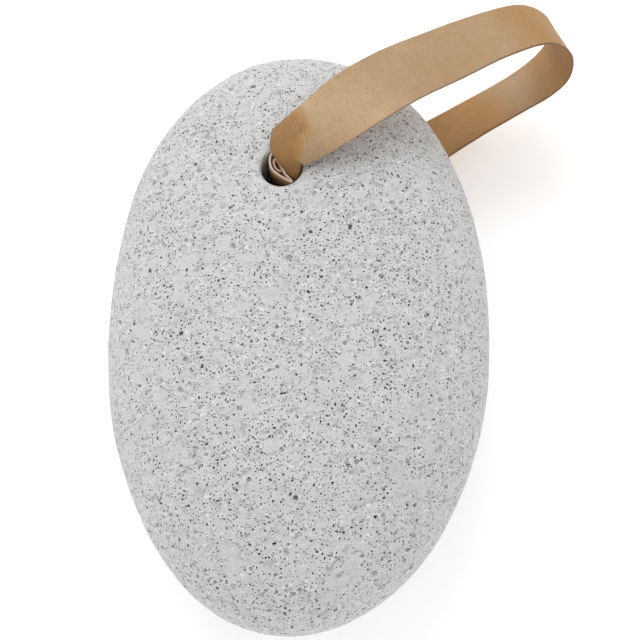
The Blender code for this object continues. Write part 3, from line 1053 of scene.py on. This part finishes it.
def leather_material():
    material, tree, shader = new_material("tan_leather")
    place = add_node(tree, "ShaderNodeTexCoord").outputs["Object"]
    broad = noise_value(tree, place, 6.0)
    mottle = noise_value(tree, place, 1.4, detail=3.0, roughness=0.6)
    speckle = noise_value(tree, place, 0.34, detail=1.0, roughness=0.6)
    grain = cells_at(tree, place, "DISTANCE_TO_EDGE", LEATHER_CELL).outputs["Distance"]
    wrinkle = times(tree, leather_wrinkles(tree), read_attribute(tree, "wrinkled"))

    # The tone with its painted shade, made uneven.
    tone_and_painted_shade = maths(tree, "ADD", read_attribute(tree, "tone_and_painted_shade"), remap(tree, broad, 0.3, 0.7, -0.07, 0.07))
    tone_and_painted_shade = maths(tree, "ADD", tone_and_painted_shade, remap(tree, mottle, 0.3, 0.7, 0.06, -0.06))
    ramp = add_node(tree, "ShaderNodeValToRGB", _0=tone_and_painted_shade)
    for share, _ in LEATHER_SHADE_TONES[1:-1]:
        ramp.color_ramp.elements.new(share)
    for stop, (share, shown) in zip(ramp.color_ramp.elements, LEATHER_SHADE_TONES):
        stop.position = share
        stop.color = shown

    colour = painted(
        tree, ramp.outputs["Color"],
        (remap(tree, speckle, 0.34, 0.5, 0.28, 0.0), LEATHER_SPECKLE),
        (remap(tree, grain, 0.0, 0.12, 0.22, 0.0), LEATHER_GRAIN),
        (times(tree, read_attribute(tree, "edge"), 0.85), LEATHER_EDGE),
        (times(tree, read_attribute(tree, "shade"), 0.9), LEATHER_SHADE),
        (read_attribute(tree, "pale"), LEATHER_PALE),
        (remap(tree, wrinkle, 0.3, 1.0, 0.0, 0.3), LEATHER_RIDGE),
    )
    roughness = remap(tree, mottle, 0.3, 0.7, 0.5, 0.62)
    height = total(tree, (remap(tree, grain, 0.0, 0.2), 0.6), (mottle, 1.0), (speckle, 0.5), (wrinkle, 2.2))
    finish_surface(tree, shader, colour, roughness, LEATHER_GLOSS, height, *LEATHER_BUMP)
    return material


def floor_material():
    material, _, shader = new_material("white_table")
    shader.inputs["Base Color"].default_value = FLOOR_COLOUR
    shader.inputs["Roughness"].default_value = 1.0
    shader.inputs["Specular IOR Level"].default_value = 0.0
    shader.inputs["Emission Color"].default_value = WHITE
    shader.inputs["Emission Strength"].default_value = FLOOR_GLOW
    return material


# ---------------------------------------------------------------- the setting, in metres

FLOOR_HALF = 3.0
WORLD_STRENGTH = 0.80
KEY_PLACE = (-0.20, 0.60, 0.80)
KEY_SIZE = 0.75
KEY_POWER = 3.0
KEY_AIM = (0.0, 0.0, 0.015)

CAMERA_LENS = 120.0
CAMERA_SENSOR = 36.0
CAMERA_CLIP = (0.01, 20.0)
CAMERA_TILT = math.radians(20.0)    # from straight down
CAMERA_AIM = (3.36, 3.10, 18.2)     # in millimetres, as is the distance
CAMERA_DISTANCE = 359.4


def make_floor():
    mesh = bpy.data.meshes.new("floor")
    corners = [(x * FLOOR_HALF, y * FLOOR_HALF, 0.0) for x, y in ((-1, -1), (1, -1), (1, 1), (-1, 1))]
    mesh.from_pydata(corners, [], [(0, 1, 2, 3)])
    floor = bpy.data.objects.new("floor", mesh)
    floor.data.materials.append(floor_material())
    bpy.context.scene.collection.objects.link(floor)


def make_world():
    world = bpy.data.worlds.new("studio")
    world.use_nodes = True
    back = world.node_tree.nodes["Background"]
    back.inputs["Color"].default_value = WHITE
    back.inputs["Strength"].default_value = WORLD_STRENGTH
    bpy.context.scene.world = world


def make_key_light():
    light = bpy.data.lights.new("key", "AREA")
    light.shape = "DISK"
    light.size = KEY_SIZE
    light.energy = KEY_POWER
    item = bpy.data.objects.new("key", light)
    item.location = KEY_PLACE
    item.rotation_mode = "QUATERNION"
    item.rotation_quaternion = (Vector(KEY_AIM) - Vector(KEY_PLACE)).to_track_quat("-Z", "Y")
    bpy.context.scene.collection.objects.link(item)


def make_setting():
    make_floor()
    make_world()
    make_key_light()
    bpy.context.scene.view_settings.view_transform = "Standard"


def make_camera():
    camera = bpy.data.cameras.new("camera")
    camera.lens = CAMERA_LENS
    camera.sensor_width = CAMERA_SENSOR
    camera.clip_start, camera.clip_end = CAMERA_CLIP
    item = bpy.data.objects.new("camera", camera)
    back = Vector((0.0, -math.sin(CAMERA_TILT), math.cos(CAMERA_TILT)))
    item.location = (Vector(CAMERA_AIM) + back * CAMERA_DISTANCE) * MM
    item.rotation_euler = (CAMERA_TILT, 0.0, 0.0)
    bpy.context.scene.collection.objects.link(item)
    bpy.context.scene.camera = item


def main():
    stone = make_stone()
    stone.data.materials.append(pumice_material())
    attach(stone, "root")
    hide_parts("pumice_stone")
    strap = make_strap()
    leather = leather_material()
    strap.data.materials.append(leather)
    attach(strap, "root")
    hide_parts("hanging_strap")
    roll = make_roll()
    roll.data.materials.append(leather)
    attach(roll, "root")
    make_setting()
    make_camera()


main()
